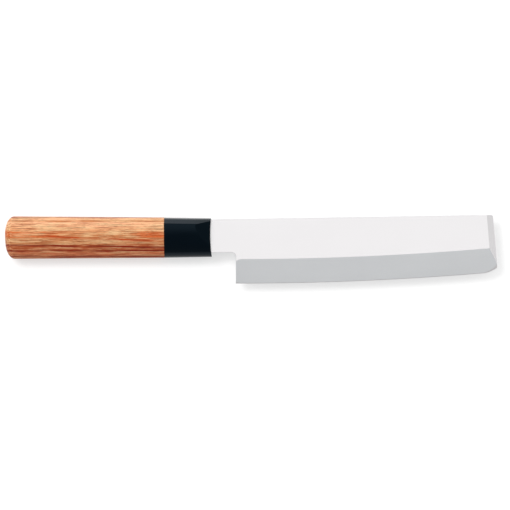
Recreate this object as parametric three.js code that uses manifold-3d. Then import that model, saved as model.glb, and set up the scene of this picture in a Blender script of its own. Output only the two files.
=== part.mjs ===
// Usuba, a Japanese vegetable knife: a single-bevel blade with a hidden stick tang, a black
// ferrule and a chestnut-section handle of laminated wood, bedded together with cured epoxy.
//
// Millimetres. The knife lies on its back face: +X runs from the butt to the tip, +Y from the
// edge to the spine and +Z out of the ground face. Pieces are drawn in the grip's own frame,
// with X = 0 at the mouth of the ferrule, Y = 0 on the handle's axis and Z = 0 in the middle of
// the steel. The last lines set the origin under the middle of the knife, on the resting plane.
import * as THREE from "three";
import { mergeVertices } from "three/addons/utils/BufferGeometryUtils.js";
import Module from "manifold-3d";

const wasm = await Module();
wasm.setup();

// Blade outline
const BLADE_LENGTH = 165; // heel to tip
const BLADE_THICKNESS = 2.2;
const HEEL_DEPTH = 29; // handle axis down to the edge, at the heel
const SPINE_RISE = 0.92; // degrees that spine and neck climb away from the handle's axis
const EDGE_RADIUS = 1890; // long belly of the edge
const TIP_CORNER_RADIUS = 17.7; // edge turning up into the tip
const TIP_CORNER_SWEEP = 33; // degrees of that turn
const TIP_LEAN = 4.8; // degrees that the tip leans back towards the spine
const TIP_TOP_RADIUS = 1.2; // eased corner between tip and spine
const NECK_LENGTH = 15.4; // mouth of the ferrule to the heel
const NECK_FILLET = 2.6; // neck running into the heel

// Blade grinds
const BEVEL_WIDTH = 15.45; // edge up to the ridge line of the grind
const BEVEL_LAND = 0.2; // steel left at the edge by the main bevel
const HEEL_ROLL = 1.3; // how far the ridge line dips at the heel
const HEEL_ROLL_LENGTH = 4;
const HONED_ANGLE = 22; // degrees of the narrow honed bevel
const EDGE_LAND = 0.1; // flat left on the cutting edge
const TIP_FACET_WIDTH = 4;
const TIP_FACET_ANGLE = 18; // degrees
const SPINE_CHAMFER = 0.3;
const HOLLOW_DEPTH = 0.3; // hollow-ground back
const HOLLOW_RIM = 2.6; // flat left round the hollow

// Tang and its seat
const NECK_SEAT = 8; // neck inside the ferrule
const NECK_CLEARANCE = 0.2;
const TANG_LENGTH = 80; // shoulder to the end of the tang
const TANG_ROOT_HEIGHT = 12;
const TANG_END_HEIGHT = 7;
const TANG_CORNER = 1.5;
const GLUE_GAP = 0.3;
const EPOXY_WALL = 1.4;
const EPOXY_PLUG = 2; // epoxy past the end of the tang

// Handle and ferrule
const FERRULE_LENGTH = 29.6;
const HANDLE_LENGTH = 100.3;
const MOUTH_HEIGHT = 24.4;
const MOUTH_WIDTH = 19.2;
const SEAM_HEIGHT = 25.4;
const SEAM_WIDTH = 19.9;
const BUTT_HEIGHT = 26.9;
const BUTT_WIDTH = 20.8;
const BUTT_DOME = 5.7; // depth of the rounded butt
const BUTT_FLAT = 7; // height of the flat left in the middle of the butt
const LIP_ABOVE = 0.8; // ferrule above the spine at the mouth
const LIP_BELOW = 2.6; // ferrule below the neck at the mouth
const MOUTH_DISH = 0.65; // depth of the hollowed front of the ferrule
const CHEEK_LENGTH = 10.1; // slanted flats either side of the mouth, along the ridge
const CHEEK_ANGLE = 17; // degrees
const TENON_LENGTH = 12;
const TENON_WALL = 2.8; // ferrule wall round the handle's tenon

// Fineness of curved faces, and how far a cutter reaches past what it cuts
const ARC_STEPS = 24;
const SECTION_STEPS = 9; // per curve of the chestnut section
const DOME_STEPS = 8;
const GRIND_STEPS = 40;
const HOLLOW_STEPS = 10;
const REACH = 3;
const BLOCK = 2 * BLADE_LENGTH; // side of the blocks that plane a flat

const { degToRad: radians, lerp } = THREE.MathUtils;
const rise = Math.tan(radians(SPINE_RISE));
const lean = radians(TIP_LEAN);
const faceZ = BLADE_THICKNESS / 2;
const backZ = -faceZ;
const neckTop = MOUTH_HEIGHT / 2 - LIP_ABOVE;
const neckBottom = LIP_BELOW - MOUTH_HEIGHT / 2;
const spineY = (x) => neckTop + x * rise;
const neckY = (x) => neckBottom + x * rise;
const seamX = -FERRULE_LENGTH;
const buttX = seamX - HANDLE_LENGTH;
const shoulderX = -NECK_SEAT;
const tangEndX = shoulderX - TANG_LENGTH;

// The edge is an arc that leaves the heel level, then turns up round a tighter arc. turnStart is
// the slope where one arc meets the other, set so that the tip lies BLADE_LENGTH from the heel.
const heelX = NECK_LENGTH;
const beltY = EDGE_RADIUS - HEEL_DEPTH;
const cornerSweep = radians(TIP_CORNER_SWEEP);
const turnStart = (() => {
  const along = EDGE_RADIUS - TIP_CORNER_RADIUS * (1 - Math.cos(cornerSweep));
  const across = TIP_CORNER_RADIUS * Math.sin(cornerSweep);
  return Math.asin(BLADE_LENGTH / Math.hypot(along, across)) - Math.atan2(across, along);
})();
const turnEnd = turnStart + cornerSweep;
const onCircle = (cx, cy, radius, slope) =>
  new THREE.Vector2(cx + radius * Math.sin(slope), cy - radius * Math.cos(slope));
const cornerCentre = onCircle(heelX, beltY, EDGE_RADIUS - TIP_CORNER_RADIUS, turnStart);
const tipLow = onCircle(cornerCentre.x, cornerCentre.y, TIP_CORNER_RADIUS, turnEnd);
const tipRun = (spineY(tipLow.x) - tipLow.y) / (Math.cos(lean) + Math.sin(lean) * rise);
const tipTop = new THREE.Vector2(
  tipLow.x - tipRun * Math.sin(lean),
  tipLow.y + tipRun * Math.cos(lean),
);
const edgeY = (x) => beltY - Math.sqrt(EDGE_RADIUS ** 2 - (x - heelX) ** 2);

const steel = new THREE.MeshStandardMaterial({ color: 0xdcdcdd, roughness: 0.28, metalness: 1 });
const blackResin = new THREE.MeshStandardMaterial({ color: 0x0c1014, roughness: 0.35 });
const redWood = new THREE.MeshStandardMaterial({ color: 0xc98760, roughness: 0.45 });
const epoxy = new THREE.MeshStandardMaterial({ color: 0xcdbb8a, roughness: 0.5 });

// A closed geometry as a solid that can be joined and cut.
function solidOf(geometry) {
  const bare = geometry.clone();
  bare.deleteAttribute("normal");
  bare.deleteAttribute("uv");
  const merged = mergeVertices(bare);
  return new wasm.Manifold(
    new wasm.Mesh({
      numProp: 3,
      vertProperties: merged.attributes.position.array,
      triVerts: new Uint32Array(merged.index.array),
    }),
  );
}

// A named piece of the knife from its finished solid.
function piece(name, solid, material) {
  const mesh = solid.getMesh();
  const geometry = new THREE.BufferGeometry();
  geometry.setAttribute("position", new THREE.BufferAttribute(mesh.vertProperties, 3));
  geometry.setIndex(new THREE.BufferAttribute(mesh.triVerts, 1));
  const flat = geometry.toNonIndexed();
  flat.computeVertexNormals();
  const made = new THREE.Mesh(flat, material);
  made.name = name;
  return made;
}

// A solid through a row of convex rings that have as many points each, wound about +X.
function loft(rings) {
  const count = rings[0].length;
  const last = (rings.length - 1) * count;
  const faces = [];
  for (let start = 0; start < last; start += count) {
    for (let i = 0; i < count; i++) {
      const here = start + i;
      const next = start + ((i + 1) % count);
      faces.push(here, next, here + count, next, next + count, here + count);
    }
  }
  for (let i = 1; i + 1 < count; i++) {
    faces.push(0, i + 1, i);
    faces.push(last, last + i, last + i + 1);
  }
  const geometry = new THREE.BufferGeometry().setFromPoints(rings.flat());
  geometry.setIndex(faces);
  return solidOf(geometry);
}

// A plate with the outline of a shape, from one height to another.
function plate(shape, low, high) {
  const settings = { depth: high - low, bevelEnabled: false, curveSegments: ARC_STEPS };
  return solidOf(new THREE.ExtrudeGeometry(shape, settings).translate(0, 0, low));
}

// A bar of a shape drawn in Y and Z, from one station of the grip to another.
function bar(shape, from, to) {
  const settings = { depth: to - from, bevelEnabled: false, curveSegments: ARC_STEPS };
  const geometry = new THREE.ExtrudeGeometry(shape, settings);
  const swap = new THREE.Matrix4().makeBasis(
    new THREE.Vector3(0, 1, 0),
    new THREE.Vector3(0, 0, 1),
    new THREE.Vector3(1, 0, 0),
  );
  return solidOf(geometry.applyMatrix4(swap).translate(from, 0, 0));
}

// A large block whose lower face passes through the origin, for planing a flat.
function planer() {
  return new THREE.BoxGeometry(BLOCK, BLOCK, BLOCK).translate(0, 0, BLOCK / 2);
}

// Draws the line into a corner and rounds it towards the next point.
function turn(shape, from, corner, to, radius) {
  const back = from.clone().sub(corner).normalize();
  const ahead = to.clone().sub(corner).normalize();
  const half = back.angleTo(ahead) / 2;
  const centre = back.clone().add(ahead).normalize();
  centre.multiplyScalar(radius / Math.sin(half)).add(corner);
  const start = back.clone().multiplyScalar(radius / Math.tan(half)).add(corner);
  const end = ahead.clone().multiplyScalar(radius / Math.tan(half)).add(corner);
  shape.lineTo(start.x, start.y);
  const first = start.sub(centre).angle();
  const second = end.sub(centre).angle();
  const clockwise = back.cross(ahead) > 0;
  shape.absarc(centre.x, centre.y, radius, first, second, clockwise);
}

// Outline of the tang alone, grown by a clearance and carried past its root.
function tangOutline(grow, rootX) {
  const slope = (TANG_ROOT_HEIGHT - TANG_END_HEIGHT) / 2 / TANG_LENGTH;
  const endX = tangEndX - grow;
  const endY = TANG_END_HEIGHT / 2 + grow;
  const rootY = endY + (rootX - endX) * slope;
  const lowEnd = new THREE.Vector2(endX, -endY);
  const highEnd = new THREE.Vector2(endX, endY);
  const highRoot = new THREE.Vector2(rootX, rootY);
  const lowRoot = new THREE.Vector2(rootX, -rootY);
  const shape = new THREE.Shape();
  shape.moveTo(lowRoot.x, lowRoot.y);
  shape.lineTo(highRoot.x, highRoot.y);
  turn(shape, highRoot, highEnd, lowEnd, TANG_CORNER + grow);
  turn(shape, highEnd, lowEnd, lowRoot, TANG_CORNER + grow);
  return shape;
}

// Outline of everything ahead of the shoulder: the neck and the blade.
function bladeOutline() {
  const shoulderLow = new THREE.Vector2(shoulderX, neckY(shoulderX));
  const neckCorner = new THREE.Vector2(heelX, neckY(heelX));
  const heel = new THREE.Vector2(heelX, -HEEL_DEPTH);
  const shoulderHigh = new THREE.Vector2(shoulderX, spineY(shoulderX));
  const quarter = Math.PI / 2;
  const shape = new THREE.Shape();
  shape.moveTo(shoulderLow.x, shoulderLow.y);
  turn(shape, shoulderLow, neckCorner, heel, NECK_FILLET);
  shape.lineTo(heel.x, heel.y);
  shape.absarc(heelX, beltY, EDGE_RADIUS, -quarter, turnStart - quarter, false);
  const { x, y } = cornerCentre;
  shape.absarc(x, y, TIP_CORNER_RADIUS, turnStart - quarter, turnEnd - quarter, false);
  turn(shape, tipLow, tipTop, shoulderHigh, TIP_TOP_RADIUS);
  shape.lineTo(shoulderHigh.x, shoulderHigh.y);
  return shape;
}

// One triangle of a grinding cutter: it takes away what lies above a slanted line. The line
// passes the edge at height low, and rises inwards, along the normal of the edge.
function grindRing(at, slope, low, gradient, inwards) {
  const place = (d, z) =>
    new THREE.Vector3(at.x - d * Math.sin(slope), at.y + d * Math.cos(slope), z);
  const height = (d) => low + d * gradient;
  return [
    place(-REACH, height(-REACH)),
    place(inwards, height(inwards)),
    place(-REACH, height(inwards)),
  ];
}

// The main bevel, a cone along the edge's long arc. At the heel it rolls down a little.
function mainBevel() {
  const gradient = (BLADE_THICKNESS - BEVEL_LAND) / BEVEL_WIDTH;
  const rings = [];
  for (let i = 0; i <= GRIND_STEPS; i++) {
    const run = (BLADE_LENGTH + 2 * REACH) * (i / GRIND_STEPS) ** 2 - REACH;
    const nearHeel = Math.max(0, 1 - Math.max(0, run) / HEEL_ROLL_LENGTH);
    const slope = Math.asin(run / EDGE_RADIUS);
    const at = onCircle(heelX, beltY, EDGE_RADIUS + HEEL_ROLL * nearHeel ** 2, slope);
    rings.push(grindRing(at, slope, backZ + BEVEL_LAND, gradient, BEVEL_WIDTH + REACH));
  }
  return loft(rings);
}

// The narrow honed bevel, which also follows the edge round the tip's corner.
function honedBevel() {
  const gradient = Math.tan(radians(HONED_ANGLE));
  const ring = (at, slope) => grindRing(at, slope, backZ + EDGE_LAND, gradient, REACH);
  const rings = [];
  const heelSlope = -REACH / EDGE_RADIUS;
  for (let i = 0; i <= ARC_STEPS; i++) {
    const slope = heelSlope + (turnStart - heelSlope) * (i / ARC_STEPS);
    rings.push(ring(onCircle(heelX, beltY, EDGE_RADIUS, slope), slope));
  }
  for (let i = 1; i <= ARC_STEPS; i++) {
    const slope = turnStart + cornerSweep * (i / ARC_STEPS);
    rings.push(ring(onCircle(cornerCentre.x, cornerCentre.y, TIP_CORNER_RADIUS, slope), slope));
  }
  const past = new THREE.Vector2(Math.cos(turnEnd), Math.sin(turnEnd)).multiplyScalar(REACH);
  rings.push(ring(tipLow.clone().add(past), turnEnd));
  return loft(rings);
}

// The slanted flat across the tip, from the spine down to its mitre with the main bevel.
function tipFacet() {
  const geometry = planer()
    .rotateY(radians(TIP_FACET_ANGLE))
    .rotateZ(lean)
    .translate(tipLow.x - TIP_FACET_WIDTH / Math.cos(lean), tipLow.y, faceZ);
  return solidOf(geometry);
}

// Eased corners of the spine, one for each face of the blade.
function spineChamfers() {
  const depth = SPINE_CHAMFER * Math.SQRT1_2;
  const turns = { face: -Math.PI / 4, back: (-3 * Math.PI) / 4 };
  const chamfer = (turnAngle, z) =>
    solidOf(
      planer()
        .translate(0, 0, -depth)
        .rotateX(turnAngle)
        .rotateZ(radians(SPINE_RISE))
        .translate(0, neckTop, z),
    );
  return chamfer(turns.face, faceZ).add(chamfer(turns.back, backZ));
}

// The hollow of the back: a shallow trough with round ends, inside a flat rim.
function hollowBack() {
  const from = heelX + HOLLOW_RIM;
  const to = tipTop.x - HOLLOW_RIM;
  const heelHalf = (spineY(heelX) + HEEL_DEPTH) / 2 - HOLLOW_RIM;
  const spread = 1.06; // the trough's curve runs on below the back face by this share
  const rings = [];
  for (let i = 0; i <= GRIND_STEPS; i++) {
    const across = -Math.cos((Math.PI * (i + 0.5)) / (GRIND_STEPS + 1));
    const x = (from + to + (to - from) * across) / 2;
    const high = spineY(x) - HOLLOW_RIM;
    const low = edgeY(x) + HOLLOW_RIM;
    const half = ((high - low) / 2) * Math.sqrt(1 - across ** 6);
    const depth = HOLLOW_DEPTH * (half / heelHalf) ** 2;
    const ring = [];
    for (let k = 0; k <= HOLLOW_STEPS; k++) {
      const t = spread * (1 - (2 * k) / HOLLOW_STEPS);
      const y = (high + low) / 2 + half * t;
      ring.push(new THREE.Vector3(x, y, backZ + depth * (1 - t * t)));
    }
    ring.push(new THREE.Vector3(x, (high + low) / 2 - half * spread, backZ - REACH));
    ring.push(new THREE.Vector3(x, (high + low) / 2 + half * spread, backZ - REACH));
    rings.push(ring);
  }
  return loft(rings);
}

// Blade, neck and tang are one piece of rolled steel, ground on one face only.
function blade() {
  const stock = plate(bladeOutline(), backZ, faceZ);
  const tang = plate(tangOutline(0, 0), backZ, faceZ);
  const ground = [mainBevel(), honedBevel(), tipFacet(), spineChamfers(), hollowBack()];
  return ground.reduce((left, cutter) => left.subtract(cutter), stock).add(tang);
}

// Chestnut section of the grip on a box of 1 by 1 either side of its axis: x towards the ground
// face, y towards the spine. A ridge runs along the ground side, above the middle, and a flat flank
// leads from it to the spine side.
function chestnut() {
  const shape = new THREE.Shape();
  shape.moveTo(0, 1);
  shape.bezierCurveTo(0.25, 1, 0.476, 0.978, 0.65, 0.87);
  shape.lineTo(0.92, 0.7);
  shape.quadraticCurveTo(0.984, 0.659, 0.975, 0.55);
  shape.bezierCurveTo(0.894, -0.35, 0.4, -1, -0.2, -1);
  shape.bezierCurveTo(-0.68, -1, -1, -0.62, -1, 0);
  shape.bezierCurveTo(-1, 0.62, -0.6, 1, 0, 1);
  return shape.getPoints(SECTION_STEPS).slice(0, -1);
}

const unitSection = chestnut();

// Size of the grip at a station: it swells from the mouth to the seam and on to the butt.
function gripSize(x) {
  const alongFerrule = x / seamX;
  const alongHandle = (seamX - x) / HANDLE_LENGTH;
  const between = (mouth, seam, butt) =>
    x > seamX ? lerp(mouth, seam, alongFerrule) : lerp(seam, butt, alongHandle);
  return {
    height: between(MOUTH_HEIGHT, SEAM_HEIGHT, BUTT_HEIGHT),
    width: between(MOUTH_WIDTH, SEAM_WIDTH, BUTT_WIDTH),
  };
}

// One ring of the grip's outside, or of a form inset into it.
function gripRing(x, scale = 1, inset = 0) {
  const { height, width } = gripSize(x);
  return unitSection.map(
    (p) =>
      new THREE.Vector3(
        x,
        p.y * (height / 2 - inset) * scale,
        p.x * (width / 2 - inset) * scale,
      ),
  );
}

// The tenon on the front of the handle, and the socket in the ferrule that takes it.
function tenon(grow) {
  const inset = TENON_WALL - grow;
  return loft([gripRing(seamX, 1, inset), gripRing(seamX + TENON_LENGTH + grow, 1, inset)]);
}

// Slot for the neck: the neck's own section, grown by a clearance on every side.
function neckSlot() {
  const shape = new THREE.Shape();
  const side = faceZ + NECK_CLEARANCE;
  const low = neckY(shoulderX) - NECK_CLEARANCE;
  const high = spineY(0) + NECK_CLEARANCE;
  shape.moveTo(low, -side);
  shape.lineTo(high, -side);
  shape.lineTo(high, side);
  shape.lineTo(low, side);
  return bar(shape, shoulderX - NECK_CLEARANCE, REACH);
}

// The mortise that the tang passes through, at a distance from the tang's faces.
function tangMortise(grow, rootX) {
  return plate(tangOutline(grow, rootX), backZ - grow, faceZ + grow);
}

// The ferrule: a moulded collar with slanted cheeks and a dished front, square to the spine.
function ferrule() {
  const dishRadius = (MOUTH_HEIGHT / 2) ** 2 / (2 * MOUTH_DISH) + MOUTH_DISH / 2;
  const dish = new THREE.CylinderGeometry(dishRadius, dishRadius, BLOCK, 16 * ARC_STEPS)
    .rotateX(Math.PI / 2)
    .translate(dishRadius - MOUTH_DISH, 0, 0)
    .rotateZ(radians(SPINE_RISE));
  const cheekRing = gripRing(-CHEEK_LENGTH);
  const cheek = (side) =>
    solidOf(
      planer()
        .rotateY(radians(CHEEK_ANGLE))
        .translate(-CHEEK_LENGTH, 0, Math.max(...cheekRing.map((p) => side * p.z)))
        .rotateX(side > 0 ? 0 : Math.PI),
    );
  const cutters = [
    solidOf(dish),
    cheek(1),
    cheek(-1),
    neckSlot(),
    tangMortise(GLUE_GAP, 0),
    tenon(GLUE_GAP),
  ];
  const collar = loft([gripRing(seamX), cheekRing, gripRing(REACH)]);
  return cutters.reduce((left, cutter) => left.subtract(cutter), collar);
}

// The handle: laminated wood with a domed butt, a tenon in front and a blind bore for the tang.
function handle() {
  const flat = BUTT_FLAT / BUTT_HEIGHT;
  const rings = [];
  for (let i = 0; i <= DOME_STEPS; i++) {
    const angle = ((Math.PI / 2) * i) / DOME_STEPS;
    const scale = lerp(flat, 1, Math.sin(angle));
    rings.push(gripRing(buttX + BUTT_DOME * (1 - Math.cos(angle)), scale));
  }
  rings.push(gripRing((buttX + seamX) / 2), gripRing(seamX));
  return loft(rings).add(tenon(0)).subtract(epoxyBody(GLUE_GAP));
}

// Outside of the epoxy that fills the bore round the tang, from the tenon's end inwards.
function epoxyBody(grow) {
  const side = faceZ + GLUE_GAP + EPOXY_WALL + grow;
  const high = TANG_ROOT_HEIGHT / 2 + GLUE_GAP + EPOXY_WALL + grow;
  const shape = new THREE.Shape();
  shape.moveTo(side - high, -side);
  shape.absarc(high - side, 0, side, -Math.PI / 2, Math.PI / 2, false);
  shape.absarc(side - high, 0, side, Math.PI / 2, (3 * Math.PI) / 2, false);
  const mouth = seamX + TENON_LENGTH + (grow > 0 ? REACH : 0);
  return bar(shape, tangEndX - GLUE_GAP - EPOXY_PLUG - grow, mouth);
}

// The cured epoxy, cast round the tang inside the handle.
function tangEpoxy() {
  return epoxyBody(0).subtract(tangMortise(GLUE_GAP, 0));
}

const knife = new THREE.Group();
knife.add(
  piece("blade", blade(), steel),
  piece("ferrule", ferrule(), blackResin),
  piece("handle", handle(), redWood),
  piece("tang_epoxy", tangEpoxy(), epoxy),
);

const box = new THREE.Box3().setFromObject(knife);
const middle = box.getCenter(new THREE.Vector3());
knife.position.set(-middle.x, -middle.y, -box.min.z);

const part = new THREE.Group();
part.add(knife);

export default part;
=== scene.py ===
import math

import bmesh
import bpy
from mathutils import Color, Matrix, Vector
from mathutils.geometry import interpolate_bezier


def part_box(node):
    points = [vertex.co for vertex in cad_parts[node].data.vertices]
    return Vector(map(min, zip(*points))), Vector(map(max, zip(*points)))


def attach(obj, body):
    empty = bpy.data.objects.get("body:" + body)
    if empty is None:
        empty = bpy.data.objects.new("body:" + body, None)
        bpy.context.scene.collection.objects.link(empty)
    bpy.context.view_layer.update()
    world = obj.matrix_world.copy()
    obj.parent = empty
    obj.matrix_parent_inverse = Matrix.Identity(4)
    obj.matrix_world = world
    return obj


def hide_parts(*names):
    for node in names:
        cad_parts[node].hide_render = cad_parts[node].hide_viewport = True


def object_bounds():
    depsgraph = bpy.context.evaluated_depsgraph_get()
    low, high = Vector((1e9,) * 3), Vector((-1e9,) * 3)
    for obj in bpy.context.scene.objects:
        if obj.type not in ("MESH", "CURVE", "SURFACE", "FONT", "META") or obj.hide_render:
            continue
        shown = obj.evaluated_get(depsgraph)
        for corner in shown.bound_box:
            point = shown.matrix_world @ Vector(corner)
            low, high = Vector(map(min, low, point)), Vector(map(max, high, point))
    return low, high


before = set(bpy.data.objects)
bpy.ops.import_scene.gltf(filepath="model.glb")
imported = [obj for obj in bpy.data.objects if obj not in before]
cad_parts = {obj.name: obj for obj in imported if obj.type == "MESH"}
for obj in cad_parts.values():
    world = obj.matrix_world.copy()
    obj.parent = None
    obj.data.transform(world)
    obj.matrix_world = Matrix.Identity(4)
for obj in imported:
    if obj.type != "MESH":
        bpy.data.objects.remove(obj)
cad_low, cad_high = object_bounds()


# Blade: blade, neck and hidden tang in one piece of rolled stainless steel, 165 mm from heel to tip. It is
# ground on its upper face only, from the ridge line down to the edge, with a slanted flat across the tip and
# a shallow hollow in the back. The tang is glued into the ferrule and the handle.
MM = 0.001
HAIR = 0.001 * MM
BLADE_LENGTH = 165 * MM
BLADE_STEPS = 44
EDGE_RADIUS = 1890 * MM
EDGE_LAND = 0.1 * MM
SPINE_RISE = math.radians(0.92)
SPINE_ABOVE_AXIS = 11.4 * MM
BEVEL_WIDTH = 15.45 * MM
BEVEL_LAND = 0.2 * MM
HONED_ANGLE = math.radians(22)
HEEL_ROLL = 1.3 * MM
HEEL_ROLL_LENGTH = 4 * MM
HEEL_ROLL_STEPS = 5
RIM_WIDTH = 2.6 * MM
RIM_SLACK = 0.01
HOLLOW_DEPTH = 0.3 * MM
HOLLOW_CUTS = 14
HOLLOW_END_POWER = 6
TIP_LEAN = math.radians(4.8)
TIP_CORNER_RADIUS = 17.7 * MM
TIP_CORNER_SWEEP = math.radians(33)
TIP_CORNER_STEPS = 14
TIP_FACET_WIDTH = 4 * MM
TIP_FACET_ANGLE = math.radians(18)
TIP_TOP_RADIUS = 1.2 * MM
TIP_WASTE = 1.5 * TIP_FACET_WIDTH
NECK_LENGTH = 15.4 * MM
NECK_HEIGHT = 21 * MM
NECK_SEAT = 8 * MM
NECK_FILLET = 2.6 * MM
SHOULDER_SLOPE = 0.4 * MM
TANG_LENGTH = 80 * MM
TANG_ROOT_HEIGHT = 12 * MM
TANG_END_HEIGHT = 7 * MM
TANG_CORNER = 1.5 * MM

blade_low, blade_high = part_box("blade")
grip_low, grip_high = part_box("handle")
axis_y = (grip_low.y + grip_high.y) / 2
back_z = blade_low.z
face_z = blade_high.z
edge_y = blade_low.y
heel_x = blade_high.x - BLADE_LENGTH
mouth_x = heel_x - NECK_LENGTH
edge_centre = Vector((heel_x, edge_y + EDGE_RADIUS, 0))
heel_spine_y = axis_y + SPINE_ABOVE_AXIS + NECK_LENGTH * math.tan(SPINE_RISE)
heel_height = heel_spine_y - edge_y
bevel_slope = (face_z - back_z - BEVEL_LAND) / BEVEL_WIDTH


def outward(slope):
    """Direction out of the cutting edge, in the blade's plane, where the edge has this slope."""
    return Vector((math.sin(slope), -math.cos(slope), 0))


def draw_out(mesh, face, shift, stretch=(1, 1, 1), about=(0, 0, 0)):
    """Extrudes one face, scales its end about a point and moves it."""
    end = bmesh.ops.extrude_discrete_faces(mesh, faces=[face])["faces"][0]
    bmesh.ops.scale(mesh, vec=stretch, space=Matrix.Translation(-Vector(about)), verts=end.verts)
    bmesh.ops.translate(mesh, vec=shift, verts=end.verts)
    return end


def plane_off(mesh, point, normal):
    """Takes off all that lies outside a plane and closes the cut with one face."""
    everything = mesh.verts[:] + mesh.edges[:] + mesh.faces[:]
    cut = bmesh.ops.bisect_plane(
        mesh, geom=everything, dist=HAIR, plane_co=point, plane_no=normal, clear_outer=True
    )
    rim = [part for part in cut["geom_cut"] if isinstance(part, bmesh.types.BMEdge)]
    bmesh.ops.edgenet_fill(mesh, edges=rim)


def score(mesh, face_list, point, normal):
    """Splits some faces along a plane and takes nothing off. Returns the faces that result."""
    around = dict.fromkeys(part for face in face_list for part in (*face.verts, *face.edges, face))
    cut = bmesh.ops.bisect_plane(mesh, geom=list(around), dist=HAIR, plane_co=point, plane_no=normal)
    return [part for part in cut["geom"] if isinstance(part, bmesh.types.BMFace)]


def honed_width(heel_share):
    """Width of the honed bevel, which grows at the heel because the main bevel rolls down there."""
    rolled_land = BEVEL_LAND + HEEL_ROLL * heel_share * bevel_slope
    return (rolled_land - EDGE_LAND) / (math.tan(HONED_ANGLE) - bevel_slope)


# The section at the heel is spun about the centre of the edge's long arc.
blade_mesh = bmesh.new()
heel_section = [
    (edge_y, back_z),
    (edge_y, back_z + EDGE_LAND),
    (edge_y + honed_width(0), back_z + EDGE_LAND + honed_width(0) * math.tan(HONED_ANGLE)),
    (edge_y + BEVEL_WIDTH, face_z),
    (heel_spine_y, face_z),
    (heel_spine_y, back_z),
    (heel_spine_y - RIM_WIDTH, back_z),
    (edge_y + RIM_WIDTH, back_z),
]
corners = [blade_mesh.verts.new((heel_x, y, z)) for y, z in heel_section]
blade_mesh.faces.new(corners)
hollow_chord = blade_mesh.edges.get(corners[-2:])
bmesh.ops.subdivide_edges(blade_mesh, edges=[hollow_chord], cuts=HOLLOW_CUTS)
roll_turn = math.asin(HEEL_ROLL_LENGTH / EDGE_RADIUS)
full_turn = math.asin((BLADE_LENGTH + TIP_WASTE) / EDGE_RADIUS)
spun = blade_mesh.verts[:] + blade_mesh.edges[:] + blade_mesh.faces[:]
for angle, steps in ((roll_turn, HEEL_ROLL_STEPS), (full_turn - roll_turn, BLADE_STEPS)):
    spun = bmesh.ops.spin(
        blade_mesh, geom=spun, cent=edge_centre, axis=(0, 0, 1), angle=angle, steps=steps
    )["geom_last"]

# The spine is pulled straight, the heel end of the bevel is rolled down and the back is hollowed.
hollow_middle = heel_x + BLADE_LENGTH / 2
hollow_half = BLADE_LENGTH / 2 - RIM_WIDTH
for vert in blade_mesh.verts:
    arm = vert.co - edge_centre
    depth = EDGE_RADIUS - arm.xy.length
    turn = math.atan2(arm.x, -arm.y)
    heel_share = max(0, 1 - turn * EDGE_RADIUS / HEEL_ROLL_LENGTH) ** 2
    spine_reach = (edge_centre.y - heel_spine_y) / (math.cos(turn) + math.tan(SPINE_RISE) * math.sin(turn))
    height = EDGE_RADIUS - spine_reach
    if vert.co.z < back_z + HAIR:
        share = (depth - RIM_WIDTH) / (heel_height - 2 * RIM_WIDTH)
        inside = height - 2 * RIM_WIDTH
        if 0 < share < 1:
            across = (heel_x + EDGE_RADIUS * math.sin(turn) - hollow_middle) / hollow_half
            ends = max(0, 1 - across**HOLLOW_END_POWER)
            width_ratio = inside / (heel_height - 2 * RIM_WIDTH)
            vert.co.z += HOLLOW_DEPTH * width_ratio**2 * ends * (1 - (2 * share - 1) ** 2)
        if share > 1 + RIM_SLACK:
            depth = height
        elif share > -RIM_SLACK:
            depth = RIM_WIDTH + share * inside
        else:
            depth = 0
    elif vert.co.z > face_z - HAIR:
        ridge = BEVEL_WIDTH - HEEL_ROLL * heel_share
        depth = ridge + (depth - BEVEL_WIDTH) / (heel_height - BEVEL_WIDTH) * (height - ridge)
    elif depth > honed_width(0) / 2:
        depth = honed_width(heel_share)
        vert.co.z = back_z + EDGE_LAND + depth * math.tan(HONED_ANGLE)
    else:
        depth = 0
    pulled = edge_centre + outward(turn) * (EDGE_RADIUS - depth)
    vert.co.xy = pulled.xy

# The tip: its leaning end, the round corner below it, the slanted flat above and the honed bevel.
corner_along = EDGE_RADIUS - TIP_CORNER_RADIUS * (1 - math.cos(TIP_CORNER_SWEEP))
corner_across = TIP_CORNER_RADIUS * math.sin(TIP_CORNER_SWEEP)
corner_start = math.asin(BLADE_LENGTH / math.hypot(corner_along, corner_across))
corner_start -= math.atan2(corner_across, corner_along)
corner_centre = edge_centre + outward(corner_start) * (EDGE_RADIUS - TIP_CORNER_RADIUS)
tip_low = corner_centre + outward(corner_start + TIP_CORNER_SWEEP) * TIP_CORNER_RADIUS
tip_ahead = Vector((math.cos(TIP_LEAN), math.sin(TIP_LEAN), 0))
up = Vector((0, 0, 1))
plane_off(blade_mesh, tip_low, tip_ahead)
corner_slopes = [
    corner_start + TIP_CORNER_SWEEP * step / TIP_CORNER_STEPS for step in range(1, TIP_CORNER_STEPS + 1)
]
for slope in corner_slopes:
    plane_off(blade_mesh, corner_centre + outward(slope) * TIP_CORNER_RADIUS, outward(slope))
facet_start = tip_low - tip_ahead * TIP_FACET_WIDTH
facet_start.z = face_z
facet_normal = up * math.cos(TIP_FACET_ANGLE) + tip_ahead * math.sin(TIP_FACET_ANGLE)
plane_off(blade_mesh, facet_start, facet_normal)
for slope in corner_slopes:
    edge_point = corner_centre + outward(slope) * TIP_CORNER_RADIUS
    edge_point.z = back_z + EDGE_LAND
    honed_normal = up * math.cos(HONED_ANGLE) + outward(slope) * math.sin(HONED_ANGLE)
    plane_off(blade_mesh, edge_point, honed_normal)

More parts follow.
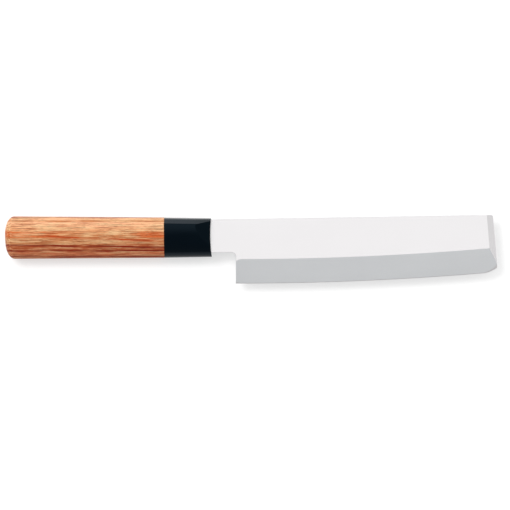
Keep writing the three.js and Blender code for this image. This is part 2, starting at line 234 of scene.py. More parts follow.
# The neck is drawn out of the upper part of the heel, and the tang out of the neck.
WELD = 5 * HAIR
LEVEL = math.radians(0.1)
bmesh.ops.remove_doubles(blade_mesh, verts=blade_mesh.verts, dist=WELD)
bmesh.ops.recalc_face_normals(blade_mesh, faces=blade_mesh.faces)
heel_face = min(blade_mesh.faces, key=lambda face: face.normal.x)
neck_foot = Vector((heel_x, heel_spine_y - NECK_HEIGHT, 0))
heel_faces = score(blade_mesh, [heel_face], neck_foot, (0, 1, 0))
neck_root = max(heel_faces, key=lambda face: face.calc_center_bounds().y)
neck_run = NECK_LENGTH + NECK_SEAT
neck_shift = Vector((-neck_run, -neck_run * math.tan(SPINE_RISE), 0))
draw_out(blade_mesh, neck_root, neck_shift)
blade_mesh.normal_update()
flat_back = []
for edge in blade_mesh.edges:
    behind = all(vert.co.x < heel_x + RIM_WIDTH and vert.co.z < back_z + HAIR for vert in edge.verts)
    if behind and edge.calc_face_angle(1) < LEVEL:
        flat_back.append(edge)
bmesh.ops.dissolve_edges(blade_mesh, edges=flat_back, use_verts=True)
shoulder = min(blade_mesh.faces, key=lambda face: face.calc_center_bounds().x)
shoulder_middle = shoulder.calc_center_bounds()
tang_root = draw_out(
    blade_mesh,
    shoulder,
    (-SHOULDER_SLOPE, axis_y - shoulder_middle.y, 0),
    (1, TANG_ROOT_HEIGHT / NECK_HEIGHT, 1),
    shoulder_middle,
)
tang_end = draw_out(
    blade_mesh,
    tang_root,
    (SHOULDER_SLOPE - TANG_LENGTH, 0, 0),
    (1, TANG_END_HEIGHT / TANG_ROOT_HEIGHT, 1),
    tang_root.calc_center_bounds(),
)

# The corners of the tang, the neck and the tip's top are rounded in the blade's outline.
CORNER_REACH = 0.02 * MM


def round_corner(mesh, point, radius, segments):
    """Rounds the upright edge that passes through a point of the blade's outline."""
    upright = []
    for edge in mesh.edges:
        at_point = all((vert.co.xy - point.xy).length < CORNER_REACH for vert in edge.verts)
        if at_point and edge.calc_length() > HAIR:
            upright.append(edge)
    bmesh.ops.bevel(
        mesh, geom=upright, offset=radius, affect="EDGES", segments=segments, profile=0.5, material=-1
    )


tang_end_x = tang_end.calc_center_bounds().x
for side in (-1, 1):
    tang_corner = Vector((tang_end_x, axis_y + side * TANG_END_HEIGHT / 2, 0))
    round_corner(blade_mesh, tang_corner, TANG_CORNER, segments=4)
round_corner(blade_mesh, neck_foot, NECK_FILLET, segments=10)
tip_run = (heel_spine_y + (tip_low.x - heel_x) * math.tan(SPINE_RISE) - tip_low.y) / (
    math.cos(TIP_LEAN) + math.sin(TIP_LEAN) * math.tan(SPINE_RISE)
)
tip_top = tip_low + Vector((-math.sin(TIP_LEAN), math.cos(TIP_LEAN), 0)) * tip_run
round_corner(blade_mesh, tip_top, TIP_TOP_RADIUS, segments=6)

# The edges of the spine, heel and neck are eased. The cutting edge, the ridge line and the tip stay crisp.
EASED_EDGE = 0.2 * MM
CRISP_EDGE = 1.5 * MM
CRISP_TIP = 2 * TIP_FACET_WIDTH
SQUARE = math.radians(60)
UPRIGHT = 0.3
FACING_EDGE = -0.5
blade_mesh.normal_update()


def is_wall(face):
    """True for faces that stand upright in the blade's outline, apart from the cutting edge's own land."""
    below_neck = face.calc_center_bounds().x < heel_x + NECK_FILLET
    return abs(face.normal.z) < UPRIGHT and (face.normal.y > FACING_EDGE or below_neck)


eased = []
for edge in blade_mesh.edges:
    walls = [face for face in edge.link_faces if is_wall(face)]
    depths = [EDGE_RADIUS - (vert.co.xy - edge_centre.xy).length for vert in edge.verts]
    on_tang = min(vert.co.x for vert in edge.verts) < mouth_x - NECK_SEAT - HAIR
    at_tip = max(vert.co.x for vert in edge.verts) > facet_start.x - CRISP_TIP
    square = edge.calc_face_angle(0) > SQUARE
    if len(walls) == 1 and square and min(depths) > CRISP_EDGE and not on_tang and not at_tip:
        eased.append(edge)
bmesh.ops.bevel(
    blade_mesh,
    geom=eased,
    offset=EASED_EDGE,
    affect="EDGES",
    segments=2,
    profile=0.5,
    material=-1,
    clamp_overlap=False,
)

# Each ground surface has its own finish: satin flat, ground bevel, honed edge and hollow-ground back. They
# are told apart by how far they tilt from level, in degrees.
SATIN, GROUND, HONED, HOLLOW = range(4)
GROUND_LEAST, GROUND_MOST = 3, 12
HONED_LEAST, HONED_MOST = 20, 25
BACK_LEAST = 170
WALL_CREASE = 20
FACE_CREASE = 4
bmesh.ops.recalc_face_normals(blade_mesh, faces=blade_mesh.faces)
for face in blade_mesh.faces:
    tilt = math.degrees(face.normal.angle(up))
    lift = max(vert.co.z for vert in face.verts) - back_z
    if GROUND_LEAST < tilt < GROUND_MOST:
        face.material_index = GROUND
    elif HONED_LEAST < tilt < HONED_MOST:
        face.material_index = HONED
    elif tilt > BACK_LEAST and lift > HAIR:
        face.material_index = HOLLOW
    else:
        face.material_index = SATIN
    face.smooth = True
for edge in blade_mesh.edges:
    first, second = edge.link_faces
    both_upright = abs(first.normal.z) < UPRIGHT and abs(second.normal.z) < UPRIGHT
    crease = WALL_CREASE if both_upright else FACE_CREASE
    same_finish = first.material_index == second.material_index
    edge.smooth = math.degrees(edge.calc_face_angle(0)) < crease and same_finish


def make_piece(mesh, name, materials):
    """Turns a finished bmesh into an object with its materials."""
    data = bpy.data.meshes.new(name)
    mesh.to_mesh(data)
    mesh.free()
    for material in materials:
        data.materials.append(material)
    piece = bpy.data.objects.new(name, data)
    bpy.context.scene.collection.objects.link(piece)
    return piece


class Shade:
    """One socket of a material's nodes, so that shader maths reads as plain expressions."""

    def __init__(self, tree, socket=None):
        self.tree = tree
        self.socket = socket

    def node(self, kind, settings=None, inputs=None, output=0):
        """Adds any node: its settings come first, then the values or links of its sockets."""
        made = self.tree.nodes.new(kind)
        for name, value in (settings or {}).items():
            if name == "stops":
                ramp = made.color_ramp.elements
                while len(ramp) < len(value):
                    ramp.new(1)
                for stop, (position, colour) in zip(ramp, value):
                    stop.position = position
                    stop.color = colour
            else:
                setattr(made, name, value)
        for key, value in (inputs or {}).items():
            if isinstance(value, Shade):
                self.tree.links.new(value.socket, made.inputs[key])
            else:
                made.inputs[key].default_value = value
        return Shade(self.tree, None if output is None else made.outputs[output])

    def math(self, operation, *values):
        """Adds a Math node on numbers or other sockets."""
        return self.node("ShaderNodeMath", {"operation": operation}, dict(enumerate(values)))

    def __add__(self, other):
        return self.math("ADD", self, other)

    def __sub__(self, other):
        return self.math("SUBTRACT", self, other)

    def __rsub__(self, other):
        return self.math("SUBTRACT", other, self)

    def __mul__(self, other):
        return self.math("MULTIPLY", self, other)

    def __truediv__(self, other):
        return self.math("DIVIDE", self, other)

    __radd__ = __add__
    __rmul__ = __mul__

    def fade(self, start, end):
        """Runs smoothly from 0 at start to 1 at end."""
        return self.node(
            "ShaderNodeMapRange",
            {"interpolation_type": "SMOOTHSTEP"},
            {"Value": self, "From Min": start, "From Max": end},
        )

    def swing(self, reach):
        """Turns a noise about 0.5 into one about 0, scaled to this reach."""
        return (self - 0.5) * reach

    def axis(self, name):
        """One coordinate of a place or direction."""
        return self.node("ShaderNodeSeparateXYZ", None, {0: self}, name)

    def noise(self, waves, detail=2, roughness=0.5, start=(0, 0, 0)):
        """Soft noise at this place, with so many waves per millimetre along X, Y and Z."""
        per_metre = [wave / MM for wave in waves]
        laid = self.node("ShaderNodeMapping", None, {"Vector": self, "Location": start, "Scale": per_metre})
        values = {"Vector": laid, "Scale": 1, "Detail": detail, "Roughness": roughness}
        return self.node("ShaderNodeTexNoise", None, values)

    def relief(self, distance, strength):
        """A fine relief that follows this value, for a Normal socket."""
        return self.node("ShaderNodeBump", None, {"Strength": strength, "Distance": distance, "Height": self})

    def mix(self, first, second):
        """Blends two colours, with this value as the share of the second."""
        return self.node("ShaderNodeMix", {"data_type": "RGBA"}, {0: self, 6: first, 7: second}, 2)


def new_material(name):
    """An empty material, and the first link of its nodes: the place on the piece."""
    material = bpy.data.materials.new(name)
    material.use_nodes = True
    material.node_tree.nodes.clear()
    place = Shade(material.node_tree).node("ShaderNodeTexCoord", output="Object")
    return material, place


def surface(place, values):
    """Closes a material with one main shader."""
    shader = place.node("ShaderNodeBsdfPrincipled", None, values)
    place.node("ShaderNodeOutputMaterial", None, {"Surface": shader}, None)


def tint(red, green, blue):
    """A colour as it shows on a screen, 0 to 255, for a colour socket."""
    shown = Color((red / 255, green / 255, blue / 255))
    return (*shown.from_srgb_to_scene_linear(), 1)


SATIN_TONES = (tint(237, 235, 236), tint(242, 240, 241))
GROUND_TONES = (tint(234, 236, 238), tint(241, 243, 245))
CLOUD_WAVES = (0.03, 0.05, 0.05)
TONE_RANGE = (0.2, 0.8)
SCRATCH_GLOSS = 0.12
CLOUD_GLOSS = 0.05


def steel(name, tones, roughness, waves, depth):
    """Ground steel: fine scratches that lie one way, in the gloss and as a faint relief."""
    material, place = new_material(name)
    scratches = place.noise(waves, detail=3, roughness=0.6)
    cloud = place.noise(CLOUD_WAVES)
    values = {
        "Base Color": (cloud * 0.5 + scratches * 0.5).fade(*TONE_RANGE).mix(*tones),
        "Metallic": 1,
        "Roughness": roughness + scratches.swing(SCRATCH_GLOSS) + cloud.swing(CLOUD_GLOSS),
        "Normal": scratches.relief(depth, strength=1),
    }
    surface(place, values)
    return material


finishes = [
    steel("satin_steel", SATIN_TONES, roughness=0.24, waves=(0.06, 9, 9), depth=0.0004 * MM),
    steel("ground_steel", GROUND_TONES, roughness=0.36, waves=(0.5, 6, 6), depth=0.0005 * MM),
    steel("honed_steel", SATIN_TONES, roughness=0.5, waves=(8, 0.3, 0.3), depth=0.0003 * MM),
    steel("hollow_steel", GROUND_TONES, roughness=0.34, waves=(8, 0.25, 0.25), depth=0.0005 * MM),
]
blade_piece = make_piece(blade_mesh, "blade_steel", finishes)
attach(blade_piece, "root")
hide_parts("blade")


# Ferrule: a moulded collar of black resin, 29.6 mm long, slipped over the handle's tenon and glued. Its front
# is dished, two slanted cheeks lead to it, and a slot takes the neck of the blade.
FERRULE_LENGTH = 29.6 * MM
MOUTH_HEIGHT = 24.4 * MM
MOUTH_WIDTH = 19.2 * MM
SEAM_HEIGHT = 25.4 * MM
SEAM_WIDTH = 19.9 * MM
MOUTH_DISH = 0.65 * MM
DISH_ROW = 1.2 * MM
DISH_ROWS = 9
CHEEK_LENGTH = 10.1 * MM
CHEEK_ANGLE = math.radians(17)
NECK_CLEARANCE = 0.2 * MM
GLUE_GAP = 0.3 * MM
TENON_LENGTH = 12 * MM
TENON_WALL = 2.8 * MM
SECTION_STEPS = 22
# Curves of the chestnut section on a box of 1 by 1 either side of its axis: towards the ground side, then
# towards the spine. A ridge runs along the ground side, above the middle, with a flat flank above it.
CHESTNUT_CURVES = [
    ((0, 1), (0.25, 1), (0.476, 0.978), (0.65, 0.87)),
    ((0.65, 0.87), (0.74, 0.813), (0.83, 0.757), (0.92, 0.7)),
    ((0.92, 0.7), (0.963, 0.673), (0.981, 0.623), (0.975, 0.55)),
    ((0.975, 0.55), (0.894, -0.35), (0.4, -1), (-0.2, -1)),
    ((-0.2, -1), (-0.68, -1), (-1, -0.62), (-1, 0)),
    ((-1, 0), (-1, 0.62), (-0.6, 1), (0, 1)),
]
seam_x = mouth_x - FERRULE_LENGTH
axis_z = (back_z + face_z) / 2


def chestnut_face(mesh, x, height, width):
    """The grip's section at one station, as a face."""
    ring = []
    for curve in CHESTNUT_CURVES:
        knots = [Vector((to_ground, to_spine, 0)) for to_ground, to_spine in curve]
        ring += interpolate_bezier(*knots, SECTION_STEPS + 1)[:-1]
    verts = [mesh.verts.new((x, axis_y + at.y * height / 2, axis_z + at.x * width / 2)) for at in ring]
    return mesh.faces.new(verts)


def narrowed(wall):
    """Scale of the seam's section for a form that leaves a wall round it."""
    return (1, 1 - 2 * wall / SEAM_HEIGHT, 1 - 2 * wall / SEAM_WIDTH)


def open_end(mesh, face):
    """Takes a face out and returns the edges round the opening."""
    rim = list(face.edges)
    bmesh.ops.delete(mesh, geom=[face], context="FACES_ONLY")
    return rim


ferrule_mesh = bmesh.new()
axis_point = Vector((seam_x, axis_y, axis_z))
seam_face = chestnut_face(ferrule_mesh, seam_x, SEAM_HEIGHT, SEAM_WIDTH)
ridge_z = max(vert.co.z for vert in seam_face.verts) - axis_z
mouth_scale = (1, MOUTH_HEIGHT / SEAM_HEIGHT, MOUTH_WIDTH / SEAM_WIDTH)
seam_copy = ferrule_mesh.faces.new([ferrule_mesh.verts.new(vert.co) for vert in seam_face.verts])
mouth_face = draw_out(ferrule_mesh, seam_copy, (FERRULE_LENGTH, 0, 0), mouth_scale, axis_point)
bmesh.ops.remove_doubles(ferrule_mesh, verts=ferrule_mesh.verts, dist=HAIR)

# The front is scored into rows and round the slot, then bent to its dish, square to the spine.
slot_half = (face_z - back_z) / 2 + NECK_CLEARANCE
slot_high = axis_y + SPINE_ABOVE_AXIS + NECK_CLEARANCE
slot_low = heel_spine_y - NECK_HEIGHT + neck_shift.y - NECK_CLEARANCE
front = [mouth_face]
for side in (-1, 1):
    front = score(ferrule_mesh, front, (mouth_x, axis_y, axis_z + side * slot_half), (0, 0, 1))
rows = [slot_low, slot_high] + [axis_y + step * DISH_ROW for step in range(-DISH_ROWS, DISH_ROWS + 1)]
for row in rows:
    front = score(ferrule_mesh, front, (mouth_x, row, axis_z), (0, 1, 0))
dish_radius = (MOUTH_HEIGHT / 2) ** 2 / (2 * MOUTH_DISH) + MOUTH_DISH / 2
for vert in {vert for face in front for vert in face.verts}:
    across = vert.co.y - axis_y
    vert.co.x += dish_radius - MOUTH_DISH - math.sqrt(dish_radius**2 - across**2)
    vert.co.x -= across * math.tan(SPINE_RISE)

# The slot is sunk to the shoulder, the mortise follows the tang, and the socket takes the tenon.
slot_faces = []
for face in front:
    middle = face.calc_center_bounds()
    if abs(middle.z - axis_z) < slot_half and slot_low < middle.y < slot_high:
        slot_faces.append(face)
sunk = bmesh.ops.extrude_face_region(ferrule_mesh, geom=slot_faces)["geom"]
bmesh.ops.delete(ferrule_mesh, geom=slot_faces, context="FACES")
for vert in [part for part in sunk if isinstance(part, bmesh.types.BMVert)]:
    vert.co.x = mouth_x - NECK_SEAT - NECK_CLEARANCE
sunk_faces = [part for part in sunk if isinstance(part, bmesh.types.BMFace)]
slot_floor = bmesh.ops.dissolve_faces(ferrule_mesh, faces=sunk_faces)["region"][0]
floor_middle = slot_floor.calc_center_bounds()
mortise_height = TANG_ROOT_HEIGHT + 2 * GLUE_GAP
mortise_half = slot_half - NECK_CLEARANCE + GLUE_GAP
mortise = draw_out(
    ferrule_mesh,
    slot_floor,
    (-SHOULDER_SLOPE, axis_y - floor_middle.y, 0),
    (1, mortise_height / (slot_high - slot_low), mortise_half / slot_half),
    floor_middle,
)
socket_x = seam_x + TENON_LENGTH + GLUE_GAP
mortise_end = draw_out(ferrule_mesh, mortise, (socket_x - mortise.calc_center_bounds().x, 0, 0))
socket_mouth = draw_out(ferrule_mesh, seam_face, (0, 0, 0), narrowed(TENON_WALL - GLUE_GAP), axis_point)
socket_floor = draw_out(ferrule_mesh, socket_mouth, (TENON_LENGTH + GLUE_GAP, 0, 0))
passage = open_end(ferrule_mesh, mortise_end) + open_end(ferrule_mesh, socket_floor)
bmesh.ops.triangle_fill(ferrule_mesh, use_beauty=True, edges=passage, normal=(-1, 0, 0))

# The cheeks are planed off on both sides of the mouth, and the mouth's rim is eased.
RESIN_EDGE = 0.25 * MM
MOUTH_ZONE = 2 * MM
RIM_ZONE = 1 * MM
RIM_TURN = math.radians(40)
FORWARD = 0.9
cheek_share = CHEEK_LENGTH / FERRULE_LENGTH
cheek_width = MOUTH_WIDTH + (SEAM_WIDTH - MOUTH_WIDTH) * cheek_share
for side, reach in ((1, ridge_z * cheek_width / SEAM_WIDTH), (-1, cheek_width / 2)):
    cheek_point = (mouth_x - CHEEK_LENGTH, axis_y, axis_z + side * reach)
    plane_off(ferrule_mesh, cheek_point, (math.sin(CHEEK_ANGLE), 0, side * math.cos(CHEEK_ANGLE)))
mouth_verts = [vert for vert in ferrule_mesh.verts if vert.co.x > mouth_x - MOUTH_ZONE]
bmesh.ops.remove_doubles(ferrule_mesh, verts=mouth_verts, dist=RESIN_EDGE)
bmesh.ops.recalc_face_normals(ferrule_mesh, faces=ferrule_mesh.faces)


def ease(mesh, width, low_x, high_x):
    """Rounds the rim of the faces that look forward, between two stations of the grip."""
    rim = []
    for edge in mesh.edges:
        ends = [vert.co.x for vert in edge.verts]
        inside = low_x < min(ends) and max(ends) < high_x
        forward = any(face.normal.x > FORWARD for face in edge.link_faces)
        if inside and forward and edge.is_convex and edge.calc_face_angle(0) > RIM_TURN:
            rim.append(edge)
    bmesh.ops.bevel(
        mesh,
        geom=rim,
        offset=width,
        affect="EDGES",
        segments=3,
        profile=0.5,
        material=-1,
        clamp_overlap=False,
    )
    bmesh.ops.recalc_face_normals(mesh, faces=mesh.faces)


def smooth_form(mesh, crease):
    """Smooth faces, with sharp edges where the form turns by more than an angle in degrees."""
    for face in mesh.faces:
        face.smooth = True
    for edge in mesh.edges:
        edge.smooth = edge.calc_face_angle(0) < math.radians(crease)


ease(ferrule_mesh, RESIN_EDGE, mouth_x - MOUTH_ZONE, mouth_x + RIM_ZONE)
smooth_form(ferrule_mesh, crease=12)

# The resin is near black, with the fine skin of its mould and a little rubbed wear in its gloss.
RESIN_TONES = (tint(0, 4, 10), tint(1, 6, 13))
RESIN_SHEEN = (0.28, 0.44, 0.56, 1)
RESIN_ROUGHNESS = 0.19
SKIN_WAVES = (0.9, 0.9, 0.9)
SKIN_GLOSS = 0.08
SKIN_DEPTH = 0.01 * MM
WEAR_WAVES = (0.06, 0.12, 0.12)
WEAR_GLOSS = 0.12
resin, place = new_material("ferrule_resin")
mould_skin = place.noise(SKIN_WAVES, detail=3, roughness=0.6)
rubbed = place.noise(WEAR_WAVES)
surface(
    place,
    {
        "Base Color": rubbed.mix(*RESIN_TONES),
        "Roughness": RESIN_ROUGHNESS + rubbed.swing(WEAR_GLOSS) + mould_skin.swing(SKIN_GLOSS),
        "Specular IOR Level": 0.34,
        "Specular Tint": RESIN_SHEEN,
        "Normal": mould_skin.relief(SKIN_DEPTH, strength=0.4),
    },
)
ferrule_piece = make_piece(ferrule_mesh, "ferrule_resin", [resin])
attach(ferrule_piece, "root")
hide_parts("ferrule")


# Handle: resin-filled wood, laminated from thin veneers stacked from the edge side to the spine side, then
# milled to a chestnut section that swells to a domed butt, 100 mm long. Its tenon is glued into the ferrule,
# and its bore holds the tang.
HANDLE_LENGTH = 100.3 * MM
BUTT_HEIGHT = 26.9 * MM
BUTT_WIDTH = 20.8 * MM
BUTT_DOME = 5.7 * MM
BUTT_FLAT = 7 * MM
DOME_STEPS = 12
EPOXY_WALL = 1.4 * MM
EPOXY_PLUG = 2 * MM
WOOD_EDGE = 0.2 * MM
butt_x = seam_x - HANDLE_LENGTH
handle_mesh = bmesh.new()
seam_front = chestnut_face(handle_mesh, seam_x, SEAM_HEIGHT, SEAM_WIDTH)
grip_end = handle_mesh.faces.new([handle_mesh.verts.new(vert.co) for vert in seam_front.verts])


def grip_size(x):
    """Height and width of the handle at a station, as shares of its size at the seam."""
    share = (seam_x - x) / HANDLE_LENGTH
    height = 1 + (BUTT_HEIGHT / SEAM_HEIGHT - 1) * share
    width = 1 + (BUTT_WIDTH / SEAM_WIDTH - 1) * share
    return height, width


flat_share = BUTT_FLAT / BUTT_HEIGHT
stations = [(seam_x - HANDLE_LENGTH / 2, 1)]
for step in range(DOME_STEPS, -1, -1):
    angle = math.pi / 2 * step / DOME_STEPS
    dome_x = butt_x + BUTT_DOME * (1 - math.cos(angle))
    stations.append((dome_x, flat_share + (1 - flat_share) * math.sin(angle)))
last_x, last_height, last_width = seam_x, 1, 1
for x, dome in stations:
    height, width = (size * dome for size in grip_size(x))
    change = (1, height / last_height, width / last_width)
    grip_end = draw_out(handle_mesh, grip_end, (x - last_x, 0, 0), change, axis_point)
    last_x, last_height, last_width = x, height, width
bmesh.ops.remove_doubles(handle_mesh, verts=handle_mesh.verts, dist=HAIR)
tenon_root = draw_out(handle_mesh, seam_front, (0, 0, 0), narrowed(TENON_WALL), axis_point)
tenon_end = draw_out(handle_mesh, tenon_root, (TENON_LENGTH, 0, 0))

# The bore is as wide as the epoxy cast in it, with round ends.
bore_half_z = mortise_half + EPOXY_WALL
bore_half_y = TANG_ROOT_HEIGHT / 2 + GLUE_GAP + EPOXY_WALL
bore_mouth = Matrix.Translation((seam_x + TENON_LENGTH, axis_y, axis_z))
to_section = bore_mouth @ Matrix.Rotation(math.pi / 2, 4, "Y")
bore = bmesh.ops.create_circle(
    handle_mesh, segments=32, radius=bore_half_z + GLUE_GAP, matrix=to_section
)["verts"]
for vert in bore:
    vert.co.y += math.copysign(bore_half_y - bore_half_z, vert.co.y - axis_y)
bore_rim = list(dict.fromkeys(edge for vert in bore for edge in vert.link_edges))
tenon_rims = open_end(handle_mesh, tenon_end) + bore_rim
bmesh.ops.triangle_fill(handle_mesh, use_beauty=True, edges=tenon_rims, normal=(1, 0, 0))
bore_wall = bmesh.ops.extrude_edge_only(handle_mesh, edges=bore_rim)["geom"]
bore_verts = [part for part in bore_wall if isinstance(part, bmesh.types.BMVert)]
bore_edges = [part for part in bore_wall if isinstance(part, bmesh.types.BMEdge)]
bore_depth = NECK_SEAT + TANG_LENGTH + GLUE_GAP + EPOXY_PLUG + GLUE_GAP - FERRULE_LENGTH + TENON_LENGTH
bmesh.ops.translate(handle_mesh, verts=bore_verts, vec=(-bore_depth, 0, 0))
bmesh.ops.edgenet_fill(handle_mesh, edges=[edge for edge in bore_edges if edge.is_boundary])
bmesh.ops.recalc_face_normals(handle_mesh, faces=handle_mesh.faces)
ease(handle_mesh, WOOD_EDGE, seam_x - RIM_ZONE, seam_x + RIM_ZONE)
smooth_form(handle_mesh, crease=35)

# The veneers are dyed in a few tones. Heights are in millimetres above the axis, towards the spine.
ROSE = tint(208, 117, 77)
RUSSET = tint(182, 88, 50)
TAN = tint(208, 140, 93)
AMBER = tint(202, 124, 74)
HONEY = tint(239, 169, 119)
PALE = tint(252, 190, 145)
VENEERS = [
    (-11.5, ROSE),
    (-9.4, ROSE),
    (-8.4, RUSSET),
    (-5.3, RUSSET),
    (-3.6, TAN),
    (-1.2, TAN),
    (1, AMBER),
    (5, HONEY),
    (8, PALE),
]
STACK_HEIGHT = 30
STACK_SWAY = 3
SWAY_WAVES = (0.02, 0.06, 0.06)
wood, place = new_material("handle_wood")
from_butt = (place.axis("X") - butt_x) / MM
from_axis = (place.axis("Y") - axis_y) / MM
sway = place.noise(SWAY_WAVES).swing(STACK_SWAY)
stack = place.node(
    "ShaderNodeValToRGB",
    {"stops": [(0.5 + at / STACK_HEIGHT, colour) for at, colour in VENEERS]},
    {0: (from_axis + sway) / STACK_HEIGHT + 0.5},
)

# An orange figure shows at both ends, in one band of veneers. Stations are in millimetres from the butt.
ORANGE = tint(218, 104, 50)
FIGURE_AT_BUTT = (24, 42)
FIGURE_AT_SEAM = (76, 90)
FIGURE_FOOT = (-0.8, 0.6)
FIGURE_HEAD = (3.2, 4.8)
FIGURE_WAVES = (0.05, 0.5, 0.5)
FIGURE_GAPS = (0.2, 0.45)
FIGURE_SHARE = 0.95
figure_ends = 1 - from_butt.fade(*FIGURE_AT_BUTT) + from_butt.fade(*FIGURE_AT_SEAM)
figure_band = from_axis.fade(*FIGURE_FOOT) * (1 - from_axis.fade(*FIGURE_HEAD))
figure = figure_ends * figure_band * place.noise(FIGURE_WAVES, start=(2, 0, 0)).fade(*FIGURE_GAPS)
figured = (figure * FIGURE_SHARE).mix(stack, ORANGE)

# Brown and pale fibres run along the veneers, with finer bright flecks.
BROWN_FIBRE = tint(170, 84, 44)
PALE_FIBRE = tint(247, 208, 157)
BRIGHT_FLECK = tint(251, 207, 152)
FIBRE_WAVES = (0.045, 1.1, 1.1)
FIBRE_EDGE = (0.49, 0.59)
FIBRE_SHARE = 0.7
PALE_WAVES = (0.04, 0.9, 0.9)
PALE_EDGE = (0.5, 0.58)
PALE_SHARE = 0.35
PALE_SHARE_AT_SPINE = 0.4
PALE_CLIMB = (-8, 6)
PALE_LOSS_IN_FIGURE = 0.5
FLECK_WAVES = (0.08, 2, 2)
BRIGHT_EDGE = (0.34, 0.46)
BRIGHT_SHARE = 0.5
fibre = place.noise(FIBRE_WAVES, detail=5, roughness=0.65)
fibred = (fibre.fade(*FIBRE_EDGE) * FIBRE_SHARE).mix(figured, BROWN_FIBRE)
pale = place.noise(PALE_WAVES, detail=5, roughness=0.65, start=(7, 3, 1)).fade(*PALE_EDGE)
pale_share = PALE_SHARE + from_axis.fade(*PALE_CLIMB) * PALE_SHARE_AT_SPINE
bleached = pale * pale_share * (1 - figure * PALE_LOSS_IN_FIGURE)
streaked = bleached.mix(fibred, PALE_FIBRE)
flecks = place.noise(FLECK_WAVES, detail=4, roughness=0.6, start=(0, 4, 2))
wood_tone = ((1 - flecks.fade(*BRIGHT_EDGE)) * BRIGHT_SHARE).mix(streaked, BRIGHT_FLECK)

# Darker glue lines lie between some veneers: dye, height at the butt, rise per millimetre, half thickness and
# the station where they begin. They wander, break up, and let pale fibres through.
RUST_DYE = tint(190, 76, 32)
RED_DYE = tint(132, 28, 12)
BROWN_DYE = tint(150, 56, 34)
GLUE_LINES = [
    (BROWN_DYE, 12.7, 0, 0.7, -10),
    (AMBER, 10.4, 0, 0.8, -10),
    (RUST_DYE, 2.1, -0.046, 0.95, 20),
    (RED_DYE, -4.9, -0.0123, 0.75, -10),
    (RED_DYE, -8.3, 0, 0.7, -10),
    (BROWN_DYE, -12, 0, 0.7, -10),
]
WANDER = 2
WANDER_WAVES = (0.035, 0.08, 0.08)
BREAK_WAVES = (0.06, 0.2, 0.2)
BREAK_EDGE = (0.26, 0.5)
LINE_RUN_IN = 10
LINE_SHARE = 0.95
LINE_LOSS_IN_PALE = 0.6
line_share = LINE_SHARE - bleached * LINE_LOSS_IN_PALE
for number, (dye, height, rise, half, first) in enumerate(GLUE_LINES):
    wander = place.noise(WANDER_WAVES, start=(number, 0, 0)).swing(WANDER)
    off_line = from_axis - from_butt * rise - height + wander
    whole = place.noise(BREAK_WAVES, start=(number, 5, 0)).fade(*BREAK_EDGE)
    begun = from_butt.fade(first, first + LINE_RUN_IN)
    on_line = (1 - (off_line * off_line).fade(0, half**2)) * whole * begun
    wood_tone = (on_line * line_share).mix(wood_tone, dye)

# Dark flecks and pores lie over all of it, and the fibres give the sanded surface its relief and gloss.
DARK_FLECK = tint(122, 60, 34)
DARK_EDGE = (0.54, 0.64)
DARK_SHARE = 0.55
PORE = tint(112, 58, 30)
PORE_WAVES = (0.3, 4, 4)
PORE_EDGE = (0.52, 0.68)
PORE_SHARE = 0.5
WOOD_ROUGHNESS = 0.5
FIBRE_GLOSS = 0.2
FIBRE_DEPTH = 0.02 * MM
flecked = (flecks.fade(*DARK_EDGE) * DARK_SHARE).mix(wood_tone, DARK_FLECK)
pores = place.noise(PORE_WAVES).fade(*PORE_EDGE)
surface(
    place,
    {
        "Base Color": (pores * PORE_SHARE).mix(flecked, PORE),
        "Roughness": WOOD_ROUGHNESS + fibre.swing(FIBRE_GLOSS),
        "Specular IOR Level": 0.15,
        "Normal": fibre.relief(FIBRE_DEPTH, strength=0.3),
    },
)
handle_piece = make_piece(handle_mesh, "handle_wood", [wood])
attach(handle_piece, "root")
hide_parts("handle")


# Epoxy: poured into the handle's bore and cured round the tang, where it holds blade, ferrule and handle
# together. It can't be seen, so it keeps its solid from the CAD and gets only its finish here.
EPOXY_TONES = (tint(198, 180, 128), tint(214, 198, 148))
EPOXY_ROUGHNESS = 0.45
STREAM_WAVES = (0.1, 0.3, 0.3)
STREAM_GLOSS = 0.1
epoxy, place = new_material("cured_epoxy")
streams = place.noise(STREAM_WAVES, detail=3)
surface(
    place,
    {
        "Base Color": streams.mix(*EPOXY_TONES),
        "Roughness": EPOXY_ROUGHNESS + streams * STREAM_GLOSS,
    },
)
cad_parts["tang_epoxy"].data.materials.clear()
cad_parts["tang_epoxy"].data.materials.append(epoxy)


# Studio table: a large matt white table that the knife lies on. It glows a little for the camera, so that
# only the shadow is grey, and up to white in reflections behind the grip, for the ferrule's flank.
TABLE_HALF = 4
TABLE_GAP = 0.05 * MM
TABLE_TONE = tint(203, 203, 203)
NEAR_GLOW = 0.49
FAR_GLOW = 0.29
FAR_OFF = (0.25, 0.9)
MIRRORED_GLOW = 0.15
GRIP_GLOW = 0.85
GRIP_SPINE_SIDE = (-30 * MM, 30 * MM)
GRIP_FRONT = (-42 * MM, -12 * MM)
table_mesh = bmesh.new()
bmesh.ops.create_grid(table_mesh, x_segments=1, y_segments=1, size=TABLE_HALF)
bmesh.ops.translate(table_mesh, verts=table_mesh.verts, vec=(0, 0, cad_low.z - TABLE_GAP))
white, place = new_material("white_table")
seen = place.node("ShaderNodeLightPath", output="Is Camera Ray")
glossy = place.node("ShaderNodeLightPath", output="Is Glossy Ray")
through = place.node("ShaderNodeLightPath", output="Is Transmission Ray")
behind_grip = place.axis("Y").fade(*GRIP_SPINE_SIDE) * (1 - place.axis("X").fade(*GRIP_FRONT))
distance = place.node("ShaderNodeVectorMath", {"operation": "LENGTH"}, {0: place}, "Value")
shown = seen * (NEAR_GLOW + distance.fade(*FAR_OFF) * FAR_GLOW)
mirrored = (glossy + through) * (MIRRORED_GLOW + behind_grip * GRIP_GLOW)
matt = place.node("ShaderNodeBsdfDiffuse", None, {"Color": TABLE_TONE})
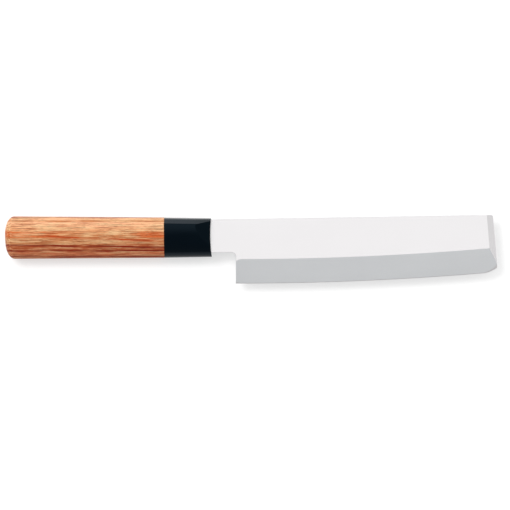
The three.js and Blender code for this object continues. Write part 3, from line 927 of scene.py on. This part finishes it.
glow = place.node("ShaderNodeEmission", None, {"Color": (1, 1, 1, 1), "Strength": shown + mirrored})
both = place.node("ShaderNodeAddShader", None, {0: matt, 1: glow})
place.node("ShaderNodeOutputMaterial", None, {"Surface": both}, None)
table = make_piece(table_mesh, "white_table", [white])


# Studio room: white overhead, with dimmer walls, most of all on the butt's side, and a grey screen in front
# of the edge that leans over the bevel. A dark card hangs high beyond the tip, and the horizon is white.
CEILING = 1.05
WALL_DIM = 0.33
WALL_TOP = (0.25, 0.75)
BUTT_DIM = 0.14
BUTT_TOP = (0.6, 0.78)
BUTT_SIDE = (0.05, 0.35)
FRONT_LEVEL = 0.64
FRONT_LEAN = 0.25
FRONT_EDGE = (-0.12, 0.12)
SCREEN_DIM = 0.34
SCREEN_ENDS = (0.08, 0.3)
CARD_DIM = 0.64
CARD_START = (0.33, 0.48)
CARD_END = (0.15, 0.5)
CARD_FOOT = (0.4, 0.65)
HORIZON_TOP = (0.03, 0.14)
room = bpy.data.worlds.new("room")
bpy.context.scene.world = room
room.use_nodes = True
room.node_tree.nodes.clear()
way = Shade(room.node_tree).node("ShaderNodeTexCoord", output="Generated")
along = way.axis("X")
toward_spine = way.axis("Y")
overhead = way.axis("Z")
walls = 1 - overhead.fade(*WALL_TOP)
butt_wall = (1 - overhead.fade(*BUTT_TOP)) * (1 - along.fade(*BUTT_SIDE))
in_front = 1 - (toward_spine + overhead * FRONT_LEAN).fade(*FRONT_EDGE)
screen = in_front * (1 - (along * along).fade(*SCREEN_ENDS))
beyond_tip = along.fade(*CARD_START) * (1 - toward_spine.fade(*CARD_END)) * (1 - in_front)
card = beyond_tip * overhead.fade(*CARD_FOOT)
horizon = 1 - overhead.fade(*HORIZON_TOP)
lit_room = CEILING - walls * WALL_DIM - butt_wall * BUTT_DIM
front_room = lit_room + in_front * (FRONT_LEVEL - lit_room) - screen * SCREEN_DIM
inner_room = front_room * (1 - card * CARD_DIM)
room_level = inner_room + horizon * (1 - inner_room)
room_glow = way.node("ShaderNodeBackground", None, {"Color": (1, 1, 1, 1), "Strength": room_level})
way.node("ShaderNodeOutputWorld", None, {"Surface": room_glow}, None)


# Studio lamps and camera: one softbox from the upper left, behind the spine, which casts the shadow, and a
# small panel beyond the tip that its slanted flat mirrors. The camera looks down through a long lens.
def softbox(name, location, aim, width, depth, radiance, in_gloss):
    """A flat lamp that faces a point, set by how bright its face looks."""
    data = bpy.data.lights.new(name, "AREA")
    data.shape = "RECTANGLE"
    data.size = width
    data.size_y = depth
    data.energy = radiance * math.pi * width * depth
    lamp = bpy.data.objects.new(name, data)
    lamp.location = location
    lamp.rotation_euler = (Vector(aim) - Vector(location)).to_track_quat("-Z", "Y").to_euler()
    lamp.visible_camera = False
    lamp.visible_glossy = in_gloss
    bpy.context.scene.collection.objects.link(lamp)


softbox(
    "key_softbox",
    location=(-0.62, 0.58, 1.2),
    aim=(0, 0, 0),
    width=0.7,
    depth=0.5,
    radiance=8.6,
    in_gloss=False,
)
softbox(
    "tip_panel",
    location=(0.42, 0.03, 0.3),
    aim=(0.155, 0, 0),
    width=0.24,
    depth=0.3,
    radiance=0.38,
    in_gloss=True,
)

IMAGE_SIDE = 510
PIXEL = 0.6305 * MM
LENS = 150
NEAREST = 0.01
VIEW_X = 2.22 * MM
VIEW_Y = -3.6 * MM
camera_data = bpy.data.cameras.new("camera")
camera_data.lens = LENS
camera_data.clip_start = NEAREST
camera = bpy.data.objects.new("camera", camera_data)
camera_height = IMAGE_SIDE * PIXEL * LENS / camera_data.sensor_width
camera.location = (VIEW_X, VIEW_Y, face_z + camera_height)
bpy.context.scene.collection.objects.link(camera)
bpy.context.scene.camera = camera
bpy.context.scene.view_settings.view_transform = "Standard"
